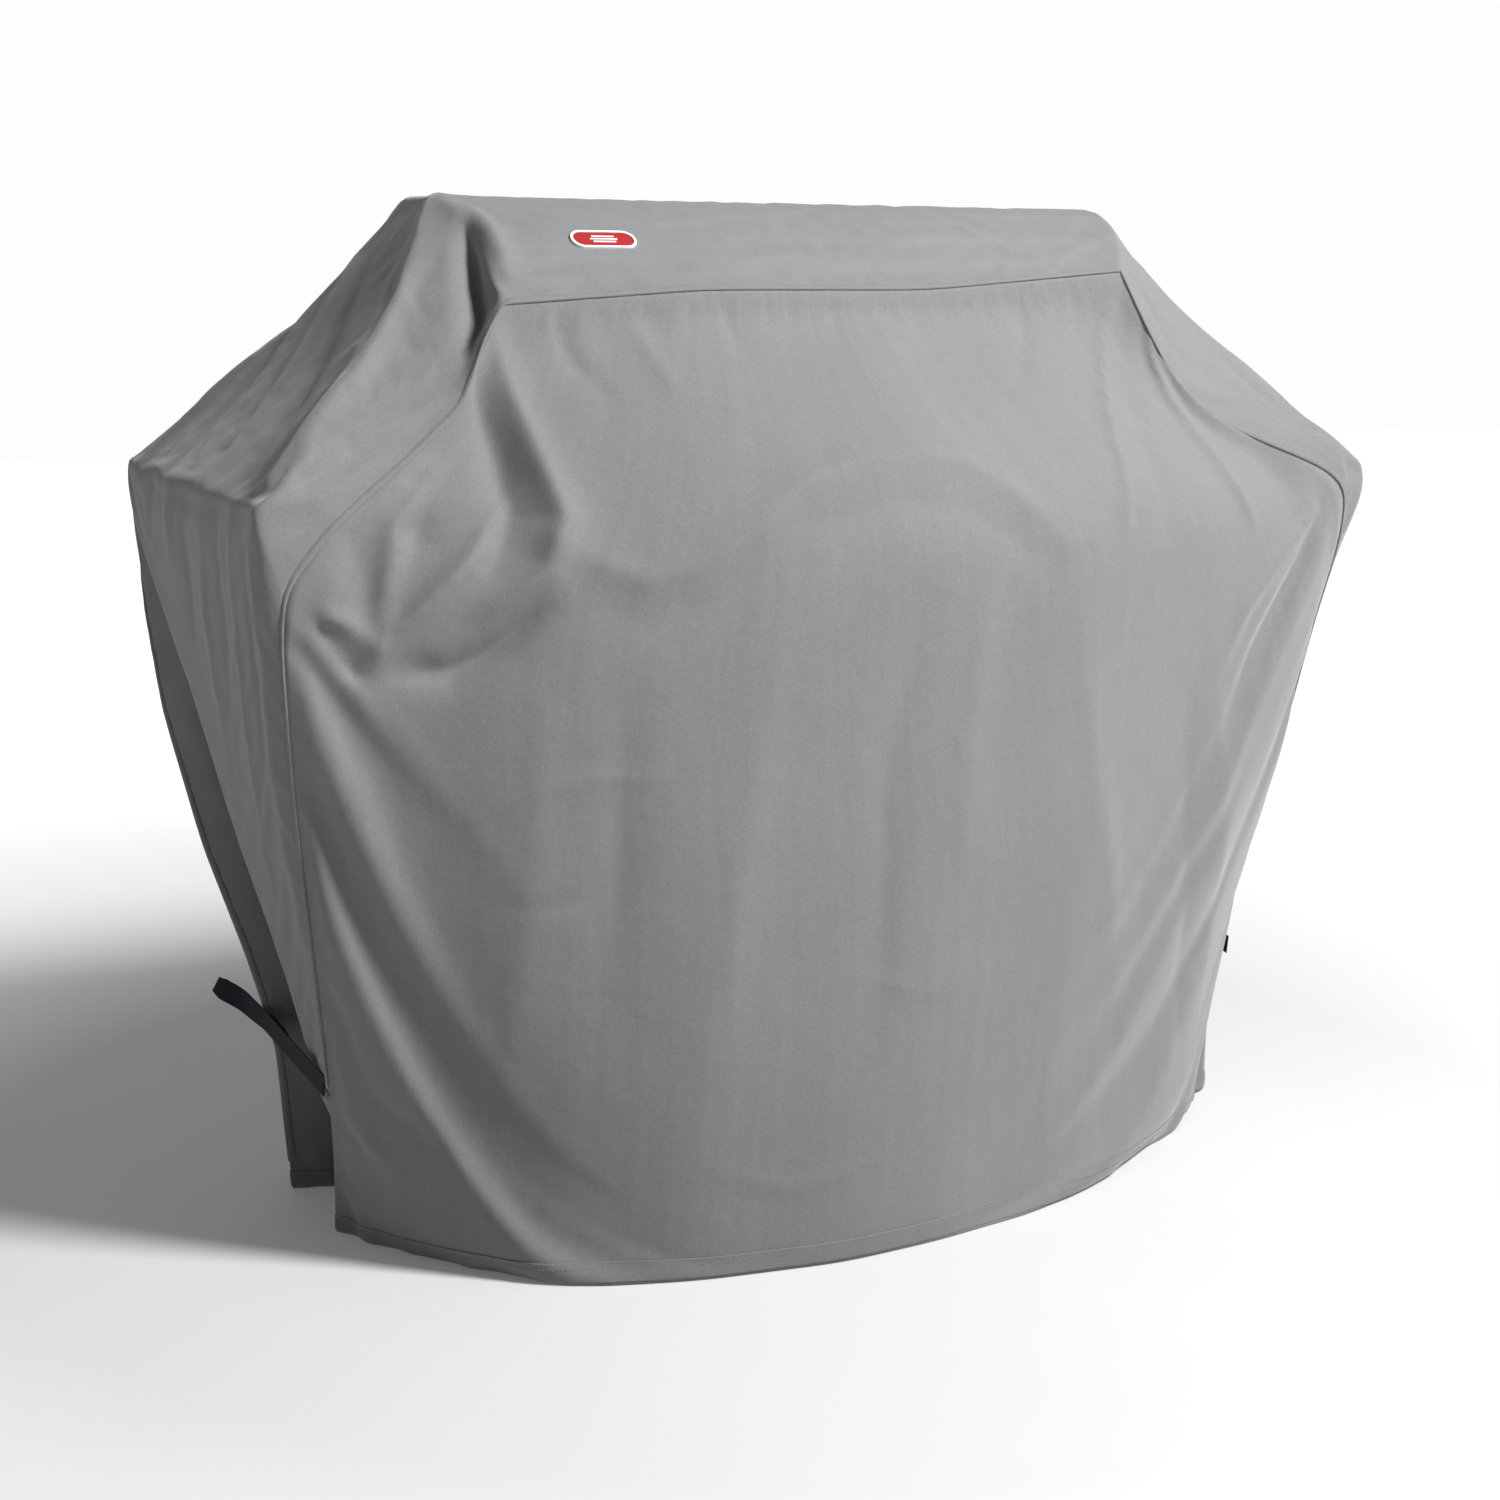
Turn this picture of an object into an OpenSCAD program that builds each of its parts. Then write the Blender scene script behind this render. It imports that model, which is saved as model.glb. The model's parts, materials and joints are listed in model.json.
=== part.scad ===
// Fitted cloth cover for a wheeled grill cart, hanging as it does in use. Millimetres.
// +Z is up and the front faces -Y. The origin is on the hem plane, below the middle.
// Pieces that come in pairs are drawn on the right and mirrored for the left, and side is 1 on
// the right and -1 on the left, because the right strap is drawn tighter than the left.

/* [Cover] */
// Width across the side shelves
cover_w = 1422; // [1340:2:1480]
// Height from the hem to the crest
cover_h = 1165; // [1140:5:1220]
// Height of the side shelves above the hem
shelf_h = 845; // [820:5:870]
// Depth of the side shelves
shelf_d = 566; // [540:2:600]
// How far the shelves and hood sit behind the middle of the hem
set_back = 72; // [40:2:90]
// Thickness of the coated cloth with its lining
cloth_t = 2; // [1.5:0.1:3]

/* [Hood] */
// Length of the flat crest over the hood
crest_w = 870; // [820:2:920]
// Depth between the front and back seams at the hood
hood_d = 444; // [420:2:470]
// Drop from the crest to the hood seams
hood_drop = 115; // [90:1:130]

/* [Hem] */
// Height of the turned and stitched hem
hem_h = 25; // [15:1:35]
// Distance between the left and right corners of the hem
hem_w = 1232; // [1180:2:1280]
// Gap between the front and back corners of the hem
hem_gap = 160; // [140:2:200]
// Forward and backward swell of the hem from the middle
hem_swell = 430; // [410:2:450]
// Height of the unsewn slit at each front corner
slit_h = 190; // [150:5:210]
// Width of the slit at the hem
slit_gap = 8; // [5:1:12]

/* [Straps] */
// Width of the webbing
strap_w = 25; // [20:1:30]
// Thickness of the webbing
strap_t = 1.5; // [1.2:0.1:2.2]
// Length of the front half of each strap, with its free tail
front_strap_l = 300; // [280:5:330]
// Length of the back half of each strap
back_strap_l = 58; // [50:2:64]
// Length of the hook tape and of the loop tape
tape_l = 44; // [36:2:46]
// Rise of the strap from front to back, in degrees
strap_rise = 8; // [4:1:12]
// How far each strap draws the back corner forward
strap_draw = 45; // [30:1:48]
// How much further back the tighter right strap draws the front corner
right_draw = 20; // [0:1:24]

/* [Badge] */
// Length of the oval badge
badge_l = 80; // [60:1:90]
// Height of the oval badge
badge_h = 30; // [22:1:34]
// Distance of the badge from the middle, to the left
badge_offset = 284; // [150:1:320]

/* [Hidden] */
half_w = cover_w / 2;
half_crest = crest_w / 2;
half_shelf = shelf_d / 2;
half_hood = hood_d / 2;
seam_drop = 95;                       // front seam below the shelf edge
seam_h = shelf_h - seam_drop;         // height of the seams at the shelf corners
hood_seam_h = cover_h - hood_drop;
hem_pull = half_w - hem_w / 2;        // how far each hem corner is drawn in
front_swell = 390;                    // swell of the front at the shelves
back_swell = 405;                     // swell of the back at the shelves
flat_top = 0.2;                       // share of the crown that is level
across = 24;                          // cells across the front and back
over = 12;                            // cells over the band, front to back
slope = 8;                            // cells down the shoulder
down = 14;                            // cells from the shelf to the hem
clear = 0.4;                          // air between pieces that move past each other
hem_out = 1;                          // hem cloth outside the panel's face
hem_in = 3;                           // hem cloth inside the panel's face
fin_gap = 1.5;                        // binding to the panels' inner faces
fin_w = 10;                           // width of the bound seam allowance
fin_t = 1.2;                          // thickness of the bound seam allowance
patch_gap = 1.4;                      // patch to the panel's inner face
patch_t = 1.5;
tape_t = 0.8;
tack_l = 14;
tack_w = 3;
badge_t = 2.5;
badge_rim_w = 3;
badge_lift = 1;
badge_v = -0.695;                     // place of the badge down the crown's front slope

strap_z = slit_h + 5;                 // height of the front anchor
strap_start = 6;                      // webbing starts this far from its fold line
strap_stack = strap_t + 2 * tape_t + clear;   // back strap, both tapes and the air between

cloth = [0.56, 0.57, 0.58];
cloth_edge = [0.46, 0.47, 0.48];
webbing = [0.05, 0.06, 0.09];
thread = [0.36, 0.37, 0.38];

// ---- where the cloth lies -------------------------------------------------

function mix(a, b, s) = a + (b - a) * s;
function unit(v) = v / norm(v);
function sgn(v) = v < 0 ? -1 : 1;

// 0 at the shelf corner's seam and 1 at the hem
function fall(z) = min(1, max(0, (seam_h - z) / seam_h));

// The corner seams lean in towards the hem, where the straps draw them together
function corner_x(z) = half_w - hem_pull * pow(fall(z), 1.3);
function front_draw(t, side) = side < 0 ? pow(t, 2.8) : pow(sin(90 * min(1, t / 0.8)), 1.3);
function front_y(z, side) =
    mix(set_back - half_shelf, -hem_gap / 2 + (side < 0 ? 0 : right_draw), front_draw(fall(z), side));
function back_y(z) =
    mix(set_back + half_shelf, hem_gap / 2, pow(sin(90 * min(1, fall(z) / 0.75)), 2))
    - strap_draw * exp(-pow((z - slit_h - 30) / 80, 2));

// Height of the panel row k, from the shelf corner (0) down to the hem's upper edge
function row_z(k) = mix(seam_h, hem_h, k / down);

// Plan curve from corner to corner: u runs from -1 at the left to 1 at the right
function swell(edge, middle, u) = mix(middle, edge, pow(abs(u), 2.3));

function low_pt(z, u, back) =
    let (
        edge = back ? back_y(z) : front_y(z, sgn(u)),
        shelf_mid = back ? back_swell : -front_swell,
        hem_mid = back ? hem_swell : -hem_swell
    )
    [u * corner_x(z), swell(edge, mix(shelf_mid, hem_mid, fall(z)), u), z];

// s runs from 0 at the shelf corner to 1 at the hood seam
function high_pt(s, u, back) =
    let (
        side = back ? 1 : -1,
        edge = set_back + side * mix(half_shelf, half_hood, s),
        shelf_mid = back ? back_swell : -front_swell,
        seam_mid = set_back + side * half_hood,
        middle = mix(shelf_mid, seam_mid, pow(s, 1.6))
    )
    [u * mix(half_w, half_crest, s), swell(edge, middle, u), mix(seam_h, hood_seam_h, s)];

// The band runs over the hood: v is -1 at the front seam and 1 at the back seam
function crown_z(v) =
    cover_h - hood_drop * pow(max(0, abs(v) - flat_top) / (1 - flat_top), 1.7);
function crown_pt(u, v) = [u * half_crest, set_back + half_hood * v, crown_z(v)];

function shelf_bow(v) = sgn(v) * (1 - pow(1 - abs(v), 2.5));
function shelf_z(v) = shelf_h - seam_drop * pow(abs(v), 6);
function shelf_pt(v) = [half_w, set_back + half_shelf * shelf_bow(v), shelf_z(v)];
function shoulder_pt(w, v) = mix(crown_pt(1, v), shelf_pt(v), w);

// Each end is folded inwards between the corner seams, deeper towards the hem
function fold_depth(z, side) =
    sqrt(max(0, pow(half_shelf, 2) - pow((back_y(z) - front_y(z, side)) / 2, 2)));
function end_pt(z, w, v, side) =
    let (
        even = min(1, 3 * w),
        place = mix(shelf_bow(v), v, even),
        y = mix(front_y(z, side), back_y(z), (place + 1) / 2),
        x = corner_x(z) - fold_depth(z, side) * (1 - pow(abs(v), 1.3)),
        open = v == -1 && z < slit_h ? 1 : 0
    )
    [x - slit_gap * open, y + slit_gap / 2 * open, z];

// ---- thickness ------------------------------------------------------------

// Direction into the cover, the same for every panel that meets at a seam
function inward(p) =
    let (
        side = p.y < set_back ? -1 : 1,
        low = min(1, max(0, (seam_h - p.z) / 300)),
        aim_y = mix(set_back, side * 200, low),
        aim_z = min(p.z, seam_h) - 50 * min(1, max(0, (p.z - 500) / (seam_h - 500)))
    )
    unit([-p.x, aim_y - p.y, aim_z - p.z]);

// Direction into the cover on a folded end, square to the fold's wall
function end_inward(z, w, v, side) =
    let (
        ahead = end_pt(z, w, min(0.999, v + 0.04), side),
        behind = end_pt(z, w, max(-0.999, v - 0.04), side),
        run = unit(ahead - behind)
    )
    [-run.y, run.x, 0];

function shift(points, d) = [for (row = points) [for (p = row) p + d * inward(p)]];

// A closed skin between two grids of points. flip turns the faces outwards. The edge strips are
// all split the same way, so panels that share an edge meet face to face.
module skin(outer, inner, flip = false) {
    rows = len(outer);
    cols = len(outer[0]);
    n = rows * cols;
    points = [for (row = outer) each row, for (row = inner) each row];
    function quad(a, b, c, d) = [[a, b, c], [a, c, d]];
    faces = [
        for (i = [0 : rows - 2]) for (j = [0 : cols - 2])
            let (a = i * cols + j, b = a + 1, c = b + cols, d = a + cols)
            each concat(quad(a, b, c, d), quad(n + a, n + d, n + c, n + b)),
        for (j = [0 : cols - 2])
            let (e = (rows - 1) * cols + j)
            each concat(quad(j, n + j, n + j + 1, j + 1), quad(n + e + 1, n + e, e, e + 1)),
        for (i = [0 : rows - 2])
            let (a = i * cols, b = a + cols, c = a + cols - 1, d = c + cols)
            each concat(quad(n + b, n + a, a, b), quad(c, n + c, n + d, d))
    ];
    polyhedron(points, flip ? [for (f = faces) [f[2], f[1], f[0]]] : faces, convexity = 8);
}

module left() {
    mirror([1, 0, 0]) children();
}

// ---- cloth panels ---------------------------------------------------------

function span(a, b, n) = [for (i = [0 : n]) mix(a, b, i / n)];

module wall_panel(back) {
    points = [
        for (s = span(1, 0, slope)) [for (u = span(-1, 1, across)) high_pt(s, u, back)],
        for (k = [1 : down]) [for (u = span(-1, 1, across)) low_pt(row_z(k), u, back)]
    ];
    color(cloth) skin(points, shift(points, cloth_t), flip = !back);
}

module front_panel() {
    wall_panel(back = false);
}

module back_panel() {
    wall_panel(back = true);
}

module crown_panel() {
    rows = span(-1, 1, over);
    cols = span(-1, 1, across);
    outer = [for (v = rows) [for (u = cols) crown_pt(u, v)]];
    function under(u, v) =
        let (p = crown_pt(u, v), edge = abs(u) == 1 || abs(v) == 1)
        p + cloth_t * (edge ? inward(p) : [0, 0, -1]);
    inner = [for (v = rows) [for (u = cols) under(u, v)]];
    color(cloth) skin(outer, inner, flip = true);
}

module shoulder_panel() {
    outer = [for (w = span(0, 1, slope)) [for (v = span(-1, 1, over)) shoulder_pt(w, v)]];
    color(cloth) skin(outer, shift(outer, cloth_t));
}

module left_shoulder_panel() {
    left() shoulder_panel();
}

module right_shoulder_panel() {
    shoulder_panel();
}

// A point of the end panel, d mm inside the cloth's outer face
function end_skin_pt(k, v, d, side) =
    let (
        w = k / down,
        z = row_z(k),
        flat = end_pt(z, w, v, side),
        p = [flat.x, flat.y, mix(shelf_z(v), hem_h, w)],
        seam = k == 0 || v == 1 || (v == -1 && z > slit_h)
    )
    p + d * (seam ? inward(p) : end_inward(z, w, v, side));

module end_panel(side) {
    vs = span(-1, 1, over);
    outer = [for (k = [0 : down]) [for (v = vs) end_skin_pt(k, v, 0, side)]];
    inner = [for (k = [0 : down]) [for (v = vs) end_skin_pt(k, v, cloth_t, side)]];
    color(cloth) skin(outer, inner);
}

module left_end_panel() {
    left() end_panel(-1);
}

module right_end_panel() {
    end_panel(1);
}

// ---- hems: the lower edge of each panel, turned up and stitched --------------

function at_z(points, z) = [for (p = points) [p.x, p.y, z]];

module wall_hem(back) {
    edge = [for (u = span(-1, 1, across)) low_pt(hem_h, u, back)];
    lines = [at_z(edge, hem_h), at_z(edge, 0)];
    color(cloth_edge) skin(shift(lines, -hem_out), shift(lines, hem_in), flip = !back);
}

module front_hem() {
    wall_hem(back = false);
}

module back_hem() {
    wall_hem(back = true);
}

module end_hem(side) {
    vs = span(-1, 1, over);
    outside = [for (v = vs) end_skin_pt(down, v, -hem_out, side)];
    inside = [for (v = vs) end_skin_pt(down, v, hem_in, side)];
    outer = [at_z(outside, hem_h), at_z(outside, 0)];
    inner = [at_z(inside, hem_h), at_z(inside, 0)];
    color(cloth_edge) skin(outer, inner);
}

module left_end_hem() {
    left() end_hem(-1);
}

module right_end_hem() {
    end_hem(1);
}

// ---- seam bindings: the taped seam allowance that stands inside each seam ------

function seam_side(back, side) = [
    for (k = [down - 1 : -1 : 1]) if (back || row_z(k) > slit_h) low_pt(row_z(k), side, back),
    for (s = span(0, 1, slope)) high_pt(s, side, back)
];

function seam_path(back) =
    let (rise = seam_side(back, -1), drop = seam_side(back, 1))
    concat(
        rise,
        [for (i = [1 : across - 1]) high_pt(1, mix(-1, 1, i / across), back)],
        [for (i = [len(drop) - 1 : -1 : 0]) drop[i]]
    );

module seam_binding(back) {
    path = seam_path(back);
    last = len(path) - 1;
    function across_fin(i) =
        let (run = path[min(last, i + 1)] - path[max(0, i - 1)])
        unit(cross(run, inward(path[i])));
    function line(depth, face) = [
        for (i = [0 : last]) path[i] + depth * inward(path[i]) + face * fin_t / 2 * across_fin(i)
    ];
    near = cloth_t + fin_gap;
    far = near + fin_w;
    color(cloth_edge) skin([line(near, 1), line(far, 1)], [line(near, -1), line(far, -1)], flip = true);
}

module front_seam_binding() {
    seam_binding(back = false);
}

module back_seam_binding() {
    seam_binding(back = true);
}

// ---- straps ---------------------------------------------------------------

// Both anchors lie on the corner seams, just outside the cloth
function front_anchor(side) = [corner_x(strap_z) + clear, front_y(strap_z, side), strap_z];
function back_anchor_z(side) =
    strap_z + (back_y(strap_z) - front_y(strap_z, side)) * tan(strap_rise);
function strap_reach(side) =
    let (z = back_anchor_z(side))
    [corner_x(z) + clear + strap_stack, back_y(z), z] - front_anchor(side);

// The strap's own frame: +Y runs from the front anchor to the back one, +X faces outwards
module on_strap(side, x, y) {
    reach = strap_reach(side);
    yaw = atan2(reach.x, reach.y);
    pitch = atan2(reach.z, norm([reach.x, reach.y]));
    translate(front_anchor(side)) rotate([0, 0, -yaw]) rotate([pitch, 0, 0])
        translate([x, y, 0]) children();
}

// Webbing along +Y with a clipped, rounded free end
module strip(length) {
    straight = length - strap_w / 4;
    rotate([90, 0, 90]) linear_extrude(strap_t) {
        translate([0, -strap_w / 2]) square([straight, strap_w]);
        translate([straight, 0]) intersection() {
            circle(d = strap_w, $fn = 48);
            translate([-1, -strap_w / 2]) square([strap_w / 4 + 1, strap_w]);
        }
    }
}

module front_strap(side) {
    color(webbing) on_strap(side, 0, strap_start) strip(front_strap_l);
}

module left_front_strap() {
    left() front_strap(-1);
}

module right_front_strap() {
    front_strap(1);
}

module back_strap(side) {
    color(webbing) on_strap(side, -strap_stack, norm(strap_reach(side)) - strap_start)
        mirror([0, 1, 0]) strip(back_strap_l);
}

module left_back_strap() {
    left() back_strap(-1);
}

module right_back_strap() {
    back_strap(1);
}

// The tapes lie face to face, between the two halves of the strap
module fastening_tape(side, x) {
    tape_w = strap_w - 3;
    color(webbing) on_strap(side, x, norm(strap_reach(side)) - back_strap_l + strap_w / 4)
        translate([0, 0, -tape_w / 2]) cube([tape_t, tape_l, tape_w]);
}

module hook_tape(side) {
    fastening_tape(side, -tape_t);
}

module loop_tape(side) {
    fastening_tape(side, strap_t - strap_stack);
}

module left_hook_tape() {
    left() hook_tape(-1);
}

module right_hook_tape() {
    hook_tape(1);
}

module left_loop_tape() {
    left() loop_tape(-1);
}

module right_loop_tape() {
    loop_tape(1);
}

// ---- reinforcing patches inside the strap anchors, and the slits' bar tacks --------

// A patch lies against the panel's corner cell, between the rows below and above its anchor
module anchor_patch(back, side) {
    next_u = (1 - 2 / across) * side;
    face = [
        for (k = [down - 3, down - 4]) [
            for (s = [0.2, 0.9]) mix(low_pt(row_z(k), side, back), low_pt(row_z(k), next_u, back), s)
        ]
    ];
    near = shift(face, cloth_t + patch_gap);
    far = shift(face, cloth_t + patch_gap + patch_t);
    color(cloth_edge) skin(near, far, flip = back == (side < 0));
}

module left_front_patch() {
    anchor_patch(false, -1);
}

module right_front_patch() {
    anchor_patch(false, 1);
}

module left_back_patch() {
    anchor_patch(true, -1);
}

module right_back_patch() {
    anchor_patch(true, 1);
}

module slit_bar_tacks() {
    z = slit_h - strap_w / 2;
    color(thread) for (side = [-1, 1])
        translate([side * (corner_x(z) + clear + tack_w / 2), front_y(z, side), z])
            cube([tack_w, tack_l, tack_w], center = true);
}

// ---- badge: a blank oval with plain bars ----------------------------------------

module on_crown(lift) {
    step = 0.01;
    fall_angle = atan2(crown_z(badge_v + step) - crown_z(badge_v), half_hood * step);
    translate([-badge_offset, set_back + half_hood * badge_v, crown_z(badge_v)])
        rotate([fall_angle, 0, 0]) translate([0, 0, lift]) children();
}

// An oval with straight long sides
module oval(length, height) {
    hull() for (side = [-1, 1])
        translate([side * (length - height) / 2, 0]) circle(d = height, $fn = 32);
}

module badge_rim() {
    color("silver") on_crown(badge_lift) linear_extrude(badge_t) difference() {
        oval(badge_l, badge_h);
        oval(badge_l - 2 * badge_rim_w, badge_h - 2 * badge_rim_w);
    }
}

module badge_face() {
    gap = 2 * (badge_rim_w + clear);
    color("firebrick") on_crown(badge_lift) linear_extrude(badge_t - 0.8)
        oval(badge_l - gap, badge_h - gap);
}

module badge_bars() {
    bar_l = 34;
    bar_w = 2.2;
    pitch = 4.6;
    color("silver") on_crown(badge_lift + badge_t - 0.8)
        for (i = [-1 : 1]) translate([0, i * pitch, 0])
            linear_extrude(0.6) oval(bar_l - 6 * abs(i), bar_w);
}

crown_panel();
left_shoulder_panel();
right_shoulder_panel();
left_end_panel();
right_end_panel();
front_panel();
back_panel();
front_hem();
back_hem();
left_end_hem();
right_end_hem();
front_seam_binding();
back_seam_binding();
left_front_strap();
right_front_strap();
left_back_strap();
right_back_strap();
left_hook_tape();
right_hook_tape();
left_loop_tape();
right_loop_tape();
left_front_patch();
right_front_patch();
left_back_patch();
right_back_patch();
slit_bar_tacks();
badge_rim();
badge_face();
badge_bars();
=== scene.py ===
"""A cloth cover for a wheeled grill cart, standing as it hangs in use: front and back cloths sewn
to one long band, with their hems, seams and stitches, two pairs of straps and an oval badge.
Metres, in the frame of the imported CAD. Each cloth is a grid of points drawn from its seams and a
few rows. It is creased along strokes, relaxed by a cloth simulation, and then thickened."""

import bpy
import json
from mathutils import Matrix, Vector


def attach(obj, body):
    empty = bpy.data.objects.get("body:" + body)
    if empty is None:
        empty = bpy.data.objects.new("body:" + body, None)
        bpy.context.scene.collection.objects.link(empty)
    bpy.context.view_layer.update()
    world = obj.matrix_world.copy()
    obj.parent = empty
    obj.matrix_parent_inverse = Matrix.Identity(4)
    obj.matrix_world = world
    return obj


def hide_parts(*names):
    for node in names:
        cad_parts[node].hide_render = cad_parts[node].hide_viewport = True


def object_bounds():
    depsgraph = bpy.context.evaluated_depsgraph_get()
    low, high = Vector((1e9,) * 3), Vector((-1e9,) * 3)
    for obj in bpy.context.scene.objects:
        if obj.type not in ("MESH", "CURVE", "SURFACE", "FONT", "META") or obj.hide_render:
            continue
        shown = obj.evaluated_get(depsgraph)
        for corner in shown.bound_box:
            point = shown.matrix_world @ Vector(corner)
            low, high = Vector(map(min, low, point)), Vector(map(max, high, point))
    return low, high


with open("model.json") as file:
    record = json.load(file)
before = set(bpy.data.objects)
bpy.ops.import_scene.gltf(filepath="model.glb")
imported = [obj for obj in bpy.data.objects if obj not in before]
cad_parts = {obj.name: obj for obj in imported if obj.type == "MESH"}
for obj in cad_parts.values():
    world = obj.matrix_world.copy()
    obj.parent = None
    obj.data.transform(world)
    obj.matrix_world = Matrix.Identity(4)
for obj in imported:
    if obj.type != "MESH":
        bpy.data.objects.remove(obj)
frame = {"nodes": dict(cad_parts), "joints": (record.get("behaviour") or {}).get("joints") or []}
cad_box = [list(corner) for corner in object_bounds()]

import json
import math

import bpy
import numpy as np
from mathutils import Matrix

# ---- sizes ------------------------------------------------------------------

DRAWN = np.array([1.422, 0.86, 1.165])      # the outlines below are drawn for a cover this big
SCALE = (np.array(cad_box[1]) - np.array(cad_box[0])) / DRAWN

N_DOWN = 84          # cells up each side seam, hem to shelf corner
N_UP = 46            # cells from the shelf corner to the hood corner
N_CROWN = 94         # cells along the hood
N_BAND = 60          # cells over the band, front seam to back seam
N_WALL = 144         # cells across the front and back cloths
BAND_W = 0.566       # flat width of the band
CLOTH_T = 0.0012
HEM_H = 0.025
SLIT_H = 0.19        # the front corners are unsewn below this height
SLIT_GAP = 0.008
SHELF_TOP = 0.851
CREST_X = 0.44       # half length of the crest
SHOULDER_SAG = 0.016
FOOT = 0.0012        # the cloths' lowest points stay this far above the floor
CENTRE = np.array([0, 0.072, 0.45])         # a point well inside the cover

# Side seams from the hem, past the shelf corner, to the hood corner: x, y, z
FRONT_LEFT = [(-.615, -.08, 0), (-.633, -.13, .12), (-.652, -.166, .23), (-.672, -.184, .38),
              (-.69, -.196, .52), (-.706, -.214, .69), (-.705, -.222, .755), (-.655, -.218, .81),
              (-.585, -.203, .863), (-.49, -.178, .935), (-.455, -.158, 1.015), (-.43, -.15, 1.046)]
FRONT_RIGHT = [(.615, -.06, 0), (.618, -.058, .14), (.63, -.07, .25), (.642, -.09, .34),
               (.655, -.138, .48), (.672, -.175, .65), (.682, -.205, .755), (.684, -.212, .825),
               (.645, -.205, .85), (.53, -.19, .893), (.47, -.18, .92), (.435, -.17, .965),
               (.40, -.158, 1.03), (.378, -.14, 1.087)]
BACK_RIGHT = [(.615, .08, 0), (.635, .05, .13), (.647, .03, .2), (.66, .095, .29), (.676, .21, .4),
              (.692, .315, .55), (.703, .35, .68), (.703, .356, .755), (.66, .352, .815),
              (.59, .34, .865), (.49, .318, .935), (.455, .30, 1.02), (.432, .294, 1.05)]
BACK_LEFT = [(-x, y, z) for x, y, z in BACK_RIGHT]
FRONT_SHELF = 6      # index of the point at the shelf corner
BACK_SHELF = 7

# Rows across the front cloth, left to right, at the hem, half way, shelf, slope and hood seam
FRONT_ROWS = [
    [(-.615, -.08, 0), (-.55, -.2, 0), (-.45, -.345, 0), (-.32, -.41, 0), (-.145, -.435, 0),
     (0, -.418, 0), (.225, -.333, 0), (.43, -.218, 0), (.615, -.06, 0)],
    [(-.674, -.184, .4), (-.62, -.235, .4), (-.5, -.33, .4), (-.3, -.405, .4), (-.05, -.428, .4),
     (.2, -.385, .4), (.45, -.26, .4), (.648, -.11, .4)],
    [(-.706, -.218, .745), (-.6, -.25, .735), (-.4, -.32, .725), (-.2, -.368, .72),
     (0, -.385, .72), (.2, -.37, .72), (.45, -.295, .73), (.682, -.205, .755)],
    [(-.54, -.192, .895), (-.42, -.245, .885), (-.25, -.305, .885), (0, -.33, .895),
     (.25, -.305, .895), (.42, -.24, .895), (.5, -.185, .905)],
    [(-.43, -.15, 1.046), (-.19, -.152, 1.063), (.1, -.15, 1.064), (.378, -.14, 1.087)],
]
ROWS_AT = [0, 0.33, 0.64, 0.84, 1]          # their places up the side seams
BACK_ROWS = [
    [(-.615, .08, 0), (-.52, .24, 0), (-.35, .38, 0), (-.1, .43, 0), (.1, .43, 0),
     (.35, .38, 0), (.52, .24, 0), (.615, .08, 0)],
    [(-.676, .21, .4), (-.55, .32, .4), (-.35, .395, .4), (0, .425, .4), (.35, .395, .4),
     (.55, .32, .4), (.676, .21, .4)],
    [(-.703, .352, .75), (-.45, .385, .735), (0, .405, .73), (.45, .385, .735), (.703, .352, .75)],
    [(-.52, .325, .91), (-.25, .365, .9), (0, .375, .9), (.25, .365, .9), (.52, .325, .91)],
    [(-.432, .294, 1.05), (0, .294, 1.056), (.432, .294, 1.05)],
]

ROW_RADIUS = 0.03    # rounding of the corners in a row
WALL_SMOOTHING = 60  # passes that blend one row into the next

# ---- curves and grids ---------------------------------------------------------


def mix(a, b, s):
    return a + (b - a) * s


def smoothstep(x, low, high):
    t = np.clip((x - low) / (high - low), 0, 1)
    return t * t * (3 - 2 * t)


def resample(points, count):
    """count + 1 points at even steps along a polyline."""
    points = np.asarray(points, float)
    steps = np.linalg.norm(np.diff(points, axis=0), axis=1)
    run = np.concatenate([[0], np.cumsum(steps)])
    at = np.linspace(0, run[-1], count + 1)
    return np.stack([np.interp(at, run, points[:, k]) for k in range(3)], axis=1)


def rounded(keys, radius=0.02, count=600):
    """A dense line near the given points, with its corners rounded and its ends kept."""
    line = resample(np.asarray(keys, float) * SCALE, count)
    step = np.linalg.norm(line[1] - line[0])
    reach = max(1, int(3 * radius / step))
    kernel = np.exp(-0.5 * (np.arange(-reach, reach + 1) * step / radius) ** 2)
    kernel /= kernel.sum()
    before = 2 * line[0] - line[reach:0:-1]
    after = 2 * line[-1] - line[-2:-reach - 2:-1]
    padded = np.concatenate([before, line, after])
    return np.stack([np.convolve(padded[:, k], kernel, "valid") for k in range(3)], axis=1)


def seam(keys, shelf):
    """A side seam as N_DOWN + N_UP cells, with a station at the shelf corner."""
    line = rounded(keys)
    corner = np.asarray(keys[shelf]) * SCALE
    split = np.argmin(np.linalg.norm(line - corner, axis=1))
    low = resample(line[:split + 1], N_DOWN)
    return np.concatenate([low, resample(line[split:], N_UP)[1:]])


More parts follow.
